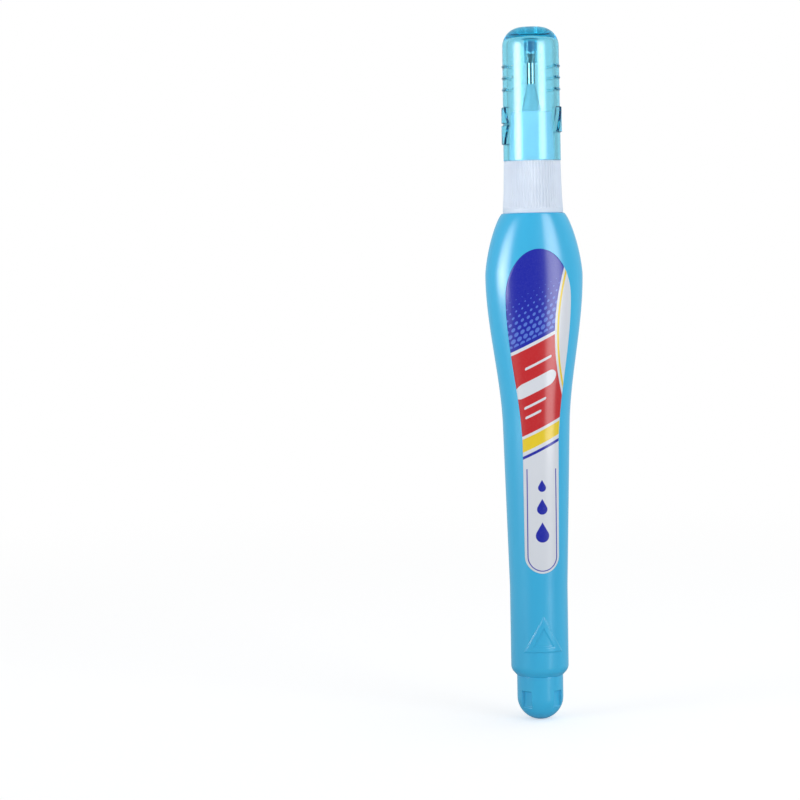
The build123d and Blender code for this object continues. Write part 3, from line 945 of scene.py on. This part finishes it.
def tip_line(tip):
    """Closed section of the metal tip, from its bore's foot round the outside and back down the bore."""
    low, high = BOX["metal_tip"]
    flange = high.x
    foot_bore = flange - 0.8 * MM
    neck, tube, bore, mouth = halves(tip, "neck", "tube", "bore", "mouth")
    tube_base = high.z - tip.tube_length
    seat = low.z + tip.flange_length
    line = rounded([
        (foot_bore, low.z, 0.0), (flange, low.z, 0.12), (flange, seat, 0.12), (neck, seat, 0.05),
        (neck, tube_base - tip.cone_length, 0.25), (tube, tube_base, 0.3), (tube, high.z, 0.18),
        (mouth, high.z, 0.06), (mouth, high.z - 0.35 * MM, 0.05), (bore, high.z - 0.7 * MM, 0.1),
        (bore, tube_base, 0.1), (foot_bore, low.z + 4.4 * MM, 0.1), (foot_bore, low.z, 0.0),
    ])
    return divided(line[:-1], 0.5 * MM)


def needle_line(tip):
    """Section of the needle from the end of its tail to its point, through flange, shank and shoulder."""
    low, high = BOX["valve_needle"]
    flange = high.x
    tail, shank, pin = halves(tip, "tail", "shank", "pin")
    flange_top = BOX["metal_tip"][0].z - 0.3 * MM
    flange_base = flange_top - 0.6 * MM
    shoulder = BOX["metal_tip"][1].z - 0.65 * MM
    line = rounded([
        (0.0, low.z, 0.0), (tail, low.z, 0.15), (tail, flange_base, 0.1), (flange, flange_base, 0.12),
        (flange, flange_top, 0.12), (shank, flange_top, 0.1), (shank, shoulder - 0.15 * MM, 0.05),
        (pin, shoulder + 0.15 * MM, 0.05), (pin, high.z - 0.17 * MM, 0.08), (0.0, high.z, 0.0),
    ])
    return divided(line, 0.8 * MM)


def spring_grid(tip):
    """Wire of radius w on the helix (R cos a, R sin a, z0 + p a), its section square to its run."""
    low, high = BOX["valve_spring"]
    wire = tip.wire / 2
    radius = high.x - wire
    turn = np.linspace(0.0, TURN * tip.coil_turns, 48 * tip.coil_turns + 1)
    climb = (high.z - low.z - 2 * wire) / turn[-1]
    centre = np.stack([radius * np.cos(turn), radius * np.sin(turn), low.z + wire + climb * turn], axis=1)
    outward = np.stack([np.cos(turn), np.sin(turn), np.zeros_like(turn)], axis=1)
    forward = np.stack([-radius * np.sin(turn), radius * np.cos(turn), np.full_like(turn, climb)], axis=1)
    forward /= np.linalg.norm(forward, axis=1, keepdims=True)
    beside = np.cross(forward, outward)
    around = even_turns(16)
    section = np.cos(around)[:, None] * outward[:, None] + np.sin(around)[:, None] * beside[:, None]
    tube = centre[:, None] + wire * section
    start, end = (np.repeat(centre[place][None, None], len(around), axis=1) for place in (0, -1))
    return np.concatenate([start, tube, end])


def cap_side_radius(cap, height):
    """Outer radius of the cap's tapering side at a height."""
    low, high = BOX["cap"]
    return cap.mouth_diameter / 2 - cap.draft * (height - low.z) / (high.z - low.z)


def cap_level(millimetres):
    """Height above the origin of what lies some millimetres above the cap's mouth."""
    return BOX["cap"][0].z + np.asarray(millimetres) * MM


def cap_rib_heights(cap):
    """Heights of the three grip ribs."""
    return BOX["cap"][0].z + cap.rib_rise + cap.rib_pitch * np.arange(3)


def cap_heights(cap, low, high):
    """Heights up the cap's side, with fine steps at each edge of a lug or a rib."""
    lug_edges = cap_level([level for lug in LUGS for level in (lug.foot, lug.top)])
    ribs = cap_rib_heights(cap)
    edges = np.concatenate([lug_edges, ribs - cap.rib_height / 2, ribs + cap.rib_height / 2])
    near = edges[:, None] + np.linspace(-0.16, 0.16, 9) * MM
    step = 0.02 * MM
    levels = np.concatenate([np.arange(low, high, 0.5 * MM), near.ravel()])
    levels = np.unique(np.round(levels / step)) * step
    return levels[(levels > low) & (levels < high)]


def cap_relief(cap, grid):
    """Relief of the grip ribs on both sides and of the lugs, each with eased edges."""
    x, y, z = np.moveaxis(grid, -1, 0)
    reach = cap.mouth_diameter / 2 * math.sin(cap.rib_arc / 2)
    tall = cap.rib_height / 2
    ramp = 0.24 * MM
    ribs = sum(bump(z, level - tall, level + tall, ramp) for level in cap_rib_heights(cap))
    relief = cap.rib_relief * ribs * bump(y, -reach, reach, 0.5 * MM)
    for lug in LUGS:
        foot, top = cap_level([lug.foot, lug.top])
        half = mix(lug.foot_half * MM, lug.top_half * MM, np.clip((z - foot) / (top - foot), 0.0, 1.0))
        mask = bump(z, foot, top, ramp) * bump(np.abs(y) - half, -2 * half, 0.0, 0.4 * MM)
        relief = relief + cap.lug_relief * mask * (lug.side * x > 0)
    return relief


def cap_inside(cap):
    """Points (radius, height) from the sealing tube's bore round the hollow to the mouth's outer edge."""
    low, high = BOX["cap"]
    ceiling = high.z - cap.roof
    seal, mouth = halves(cap, "seal", "mouth")
    bore = cap.seal_bore / 2
    bore_top = ceiling - cap.seal_solid
    seal_end = bore_top - cap.seal_grip
    line = rounded([
        (0.0, bore_top, 0.0), (bore, bore_top, 0.2), (bore, seal_end, 0.08), (seal, seal_end, 0.12),
        (seal, ceiling, 0.9), (cap_side_radius(cap, ceiling) - cap.wall, ceiling, 1.5),
        (mouth - cap.wall, low.z, 0.12), (mouth, low.z, 0.2), (mouth, low.z + 0.5 * MM, 0.0),
    ])
    return divided(line, 0.9 * MM)


def cap_grid(cap):
    """Turned clear cap from its sealing tube's bore round the hollow, the mouth and the side to its top."""
    low, high = BOX["cap"]
    corner = high.z - cap.corner_radius
    flat = cap_side_radius(cap, corner) - cap.corner_radius
    inside = cap_inside(cap)
    levels = cap_heights(cap, low.z + 0.55 * MM, corner)
    side = np.stack([cap_side_radius(cap, levels), levels], axis=1)
    top = arc((flat, corner), cap.corner_radius, 0.0, 90.0, 30)
    crown = [(flat / 2, high.z), (0.0, high.z)]
    turns = gathered_turns(320, 0.0, waves=2, pull=0.55)
    grid = revolved(np.vstack([inside, side, top, crown]), turns)
    face = slice(len(inside), len(inside) + len(side))
    grid[face] = pushed(grid[face], cap_relief(cap, grid[face]))
    return grid


class PEN_OT_barrel(bpy.types.Operator):
    """Build the barrel's shell and the end plug in the same blue plastic"""

    bl_idname = "pen.barrel"
    bl_label = "Barrel and End Plug"

    def execute(self, context):
        scene = context.scene
        finish = barrel_finish(scene.pen_barrel)
        shell = barrel_grid(scene.pen_barrel)
        add_piece("barrel_shell", shell, finish, "pen_body", "barrel", wrap_rows=True)
        cup = plug_grid(scene.pen_plug)
        add_piece("end_plug_cup", cup, finish, "pen_body", "end_plug")
        return {"FINISHED"}


class PEN_OT_label(bpy.types.Operator):
    """Build the printed film on the barrel's front"""

    bl_idname = "pen.label"
    bl_label = "Front Label"

    def execute(self, context):
        scene = context.scene
        grid = label_grid(scene.pen_label, scene.pen_barrel)
        finish = label_finish(scene.pen_label)
        add_piece("front_label_film", grid, finish, "pen_body", "front_label")
        return {"FINISHED"}


class PEN_OT_collar(bpy.types.Operator):
    """Build the ribbed collar and finish the spring's seat inside it"""

    bl_idname = "pen.collar"
    bl_label = "Collar"

    def execute(self, context):
        scene = context.scene
        finish = collar_finish(scene.pen_collar)
        shell = collar_grid(scene.pen_collar)
        add_piece("collar_shell", shell, finish, "pen_body", "collar", wrap_rows=True)
        finish_node("spring_seat", finish)
        return {"FINISHED"}


class PEN_OT_valve(bpy.types.Operator):
    """Build the metal tip, its needle and its spring, and finish the mixing ball"""

    bl_idname = "pen.valve"
    bl_label = "Tip and Valve"

    def execute(self, context):
        tip = context.scene.pen_tip
        turns = even_turns(96)
        nozzle = revolved(tip_line(tip), turns)
        finish = tip_finish(tip)
        add_piece("metal_tip_nozzle", nozzle, finish, "pen_body", "metal_tip", wrap_rows=True)
        needle = revolved(needle_line(tip), turns)
        steel = turned_metal("needle_steel", tip.steel, roughness=0.16, ring_pitch=0.09)
        add_piece("valve_needle_pin", needle, steel, "needle_body", "valve_needle")
        wire = turned_metal("spring_wire", tip.steel, roughness=0.22, ring_pitch=0.05)
        coil = spring_grid(tip)
        spring = add_piece("valve_spring_coil", coil, wire, "pen_body", "valve_spring")
        press = next(joint for joint in frame["joints"] if joint["name"] == "needle_press")
        fixed_end = press["deforming_nodes"][0]["fixed_end_z_m"]
        keep = 1.0 - press["range_m"][1] / (BOX["valve_spring"][1].z - fixed_end)
        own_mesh(spring)
        polished = turned_metal("ball_steel", tip.steel, roughness=0.08, ring_pitch=0.4)
        finish_node("mixing_ball", polished)
        return {"FINISHED"}


class PEN_OT_cap(bpy.types.Operator):
    """Build the clear cap"""

    bl_idname = "pen.cap"
    bl_label = "Cap"

    def execute(self, context):
        cap = context.scene.pen_cap
        add_piece("cap_shell", cap_grid(cap), cap_finish(cap), "cap_body", "cap")
        return {"FINISHED"}


def ray_kinds(tree):
    """Whether a ray comes from the camera, from a mirror or through clear plastic, each 0 or 1."""
    path = tree.node("LightPath").socket.node
    return [Value(tree, path.outputs[f"Is {kind} Ray"]) for kind in ("Camera", "Glossy", "Transmission")]


def floor_finish(stage):
    """Pale floor, white in the picture beyond the shadow and plain diffuse for the light it bounces."""
    tree = new_finish("floor_white")
    x, y = tree.millimetres()[:2]
    away = tree.ease(tree.distance(x, y), 60.0, 420.0)
    camera, glossy, through = ray_kinds(tree)
    seen = tree.math("MAXIMUM", tree.math("MAXIMUM", camera, glossy), through)
    plain = tree.node("BsdfDiffuse", {"Color": stage.floor})
    fading = tree.node("BsdfDiffuse", {"Color": tree.blend(away, stage.floor, BLACK)})
    glow = tree.node("Emission", {"Color": WHITE, "Strength": 0.5 + away * 0.5})
    shown = tree.node("AddShader", {0: fading, 1: glow})
    return tree.show(tree.node("MixShader", {0: seen, 1: plain, 2: shown}))


def add_floor(stage):
    """Round floor under the pen, which mirrors don't show."""
    ring = np.array([(0.0, 0.0), (0.05, 0.0), (0.2, 0.0), (1.0, 0.0), (6.0, 0.0)])
    floor = bpy.data.objects.new("floor", grid_mesh("floor", revolved(ring, -even_turns(96)), False))
    floor.data.materials.append(floor_finish(stage))
    floor.visible_glossy = False
    bpy.context.scene.collection.objects.link(floor)


def studio_world(stage):
    """Surround that is white where it is seen and dimmer where it only lights.

    Mirrors show a pale surround beyond the pen and a dim room behind the camera. Two dark cards beside the
    surround show only through clear plastic.
    """
    world = bpy.data.worlds.new("studio")
    bpy.context.scene.world = world
    tree = ShaderTree(world)
    camera, glossy, through = ray_kinds(tree)
    x, y, z = tree.parts(tree.node("TexCoord", output="Generated"))
    beyond = tree.ease(y, -0.5, 0.35) * tree.ease(z, -0.5, 0.0)
    mirrored = tree.blend(beyond, stage.room, stage.surround)
    cards = tree.band(abs(x), 0.55, 0.95, 0.1) * tree.ease(y, 0.0, 0.2) * stage.cards
    seen = tree.math("MAXIMUM", camera, through)
    mirror = glossy * (1.0 - seen)
    even = stage.ambient * (1.0 + stage.lean * x)
    plain = seen * (1.0 - through * cards) + (1.0 - seen) * even
    tint = tree.blend(mirror, WHITE, mirrored)
    strength = tree.math("MAXIMUM", plain, mirror)
    light = tree.node("Background", {"Color": tint, "Strength": strength})
    tree.node("OutputWorld", {"Surface": light})
    world.cycles.sampling_method = "NONE"


def add_softbox(softbox, facing):
    """Upright area light that faces the pen from a bearing off the camera's and fades to its sides."""
    lamp = bpy.data.lights.new(softbox.name, "AREA")
    lamp.shape = "RECTANGLE"
    lamp.size = softbox.width
    lamp.size_y = softbox.tall
    lamp.spread = math.radians(softbox.spread)
    lamp.energy = softbox.power
    tree = ShaderTree(lamp)
    across = tree.parts(tree.node("NewGeometry", output="Parametric"))[0]
    fade = tree.ease(abs(across - 0.5), 0.5, 0.25)
    light = tree.node("Emission", {"Color": WHITE, "Strength": fade})
    tree.node("OutputLight", {"Surface": light})
    bearing = Matrix.Rotation(facing + math.radians(softbox.bearing), 4, "Z")
    place = Matrix.Translation((0.0, -softbox.distance, softbox.height))
    box = bpy.data.objects.new(softbox.name, lamp)
    box.matrix_world = bearing @ place @ Matrix.Rotation(math.pi / 2, 4, "X")
    box.visible_camera = False
    bpy.context.scene.collection.objects.link(box)


def add_camera(stage):
    """Camera in front of the pen, a little to its left, turned about the pen's axis."""
    camera = bpy.data.objects.new("camera", bpy.data.cameras.new("camera"))
    camera.data.lens = stage.lens
    camera.data.clip_start = 0.01
    place = Matrix.Translation((-stage.camera_side, -stage.camera_distance, stage.camera_height))
    pitch = Matrix.Rotation(math.pi / 2 - stage.camera_pitch, 4, "X")
    look = pitch @ Matrix.Rotation(stage.camera_roll, 4, "Z")
    camera.matrix_world = Matrix.Rotation(stage.camera_turn, 4, "Z") @ place @ look
    bpy.context.scene.collection.objects.link(camera)
    bpy.context.scene.camera = camera


class PEN_OT_stage(bpy.types.Operator):
    """Set up the floor, the white surround, the softboxes and the camera"""

    bl_idname = "pen.stage"
    bl_label = "Stage"

    def execute(self, context):
        scene = context.scene
        stage = scene.pen_stage
        add_floor(stage)
        studio_world(stage)
        facing = stage.camera_turn - math.atan2(stage.camera_side, stage.camera_distance)
        for softbox in SOFTBOXES:
            add_softbox(softbox, facing)
        add_camera(stage)
        scene.view_settings.view_transform = "Standard"
        for kind in ("max", "glossy", "transmission"):
            setattr(scene.cycles, f"{kind}_bounces", stage.bounces)
        return {"FINISHED"}


GROUPS = {
    "pen_barrel": BarrelSettings,
    "pen_plug": PlugSettings,
    "pen_label": LabelSettings,
    "pen_collar": CollarSettings,
    "pen_tip": TipSettings,
    "pen_cap": CapSettings,
    "pen_stage": StageSettings,
}
OPERATORS = (PEN_OT_barrel, PEN_OT_label, PEN_OT_collar, PEN_OT_valve, PEN_OT_cap, PEN_OT_stage)


class PEN_PT_sidebar(bpy.types.Panel):
    """Operators and settings of the pen"""

    bl_idname = "PEN_PT_sidebar"
    bl_label = "Correction Pen"
    bl_space_type = "VIEW_3D"
    bl_region_type = "UI"
    bl_category = "Pen"

    def draw(self, context):
        for operator in OPERATORS:
            self.layout.operator(operator.bl_idname)
        for name, group in GROUPS.items():
            box = self.layout.box()
            box.label(text=group.__doc__)
            for setting in group.__annotations__:
                box.prop(getattr(context.scene, name), setting)


def register():
    for group in GROUPS.values():
        bpy.utils.register_class(group)
    for name, group in GROUPS.items():
        setattr(bpy.types.Scene, name, PointerProperty(type=group))
    for made in (*OPERATORS, PEN_PT_sidebar):
        bpy.utils.register_class(made)


def unregister():
    for made in (*OPERATORS, PEN_PT_sidebar):
        bpy.utils.unregister_class(made)
    for name, group in GROUPS.items():
        delattr(bpy.types.Scene, name)
        bpy.utils.unregister_class(group)


def main():
    """Build every piece and the stage in order."""
    register()
    bpy.ops.pen.barrel()
    bpy.ops.pen.label()
    bpy.ops.pen.collar()
    bpy.ops.pen.valve()
    bpy.ops.pen.cap()
    bpy.ops.pen.stage()


if __name__ == "__main__":
    main()
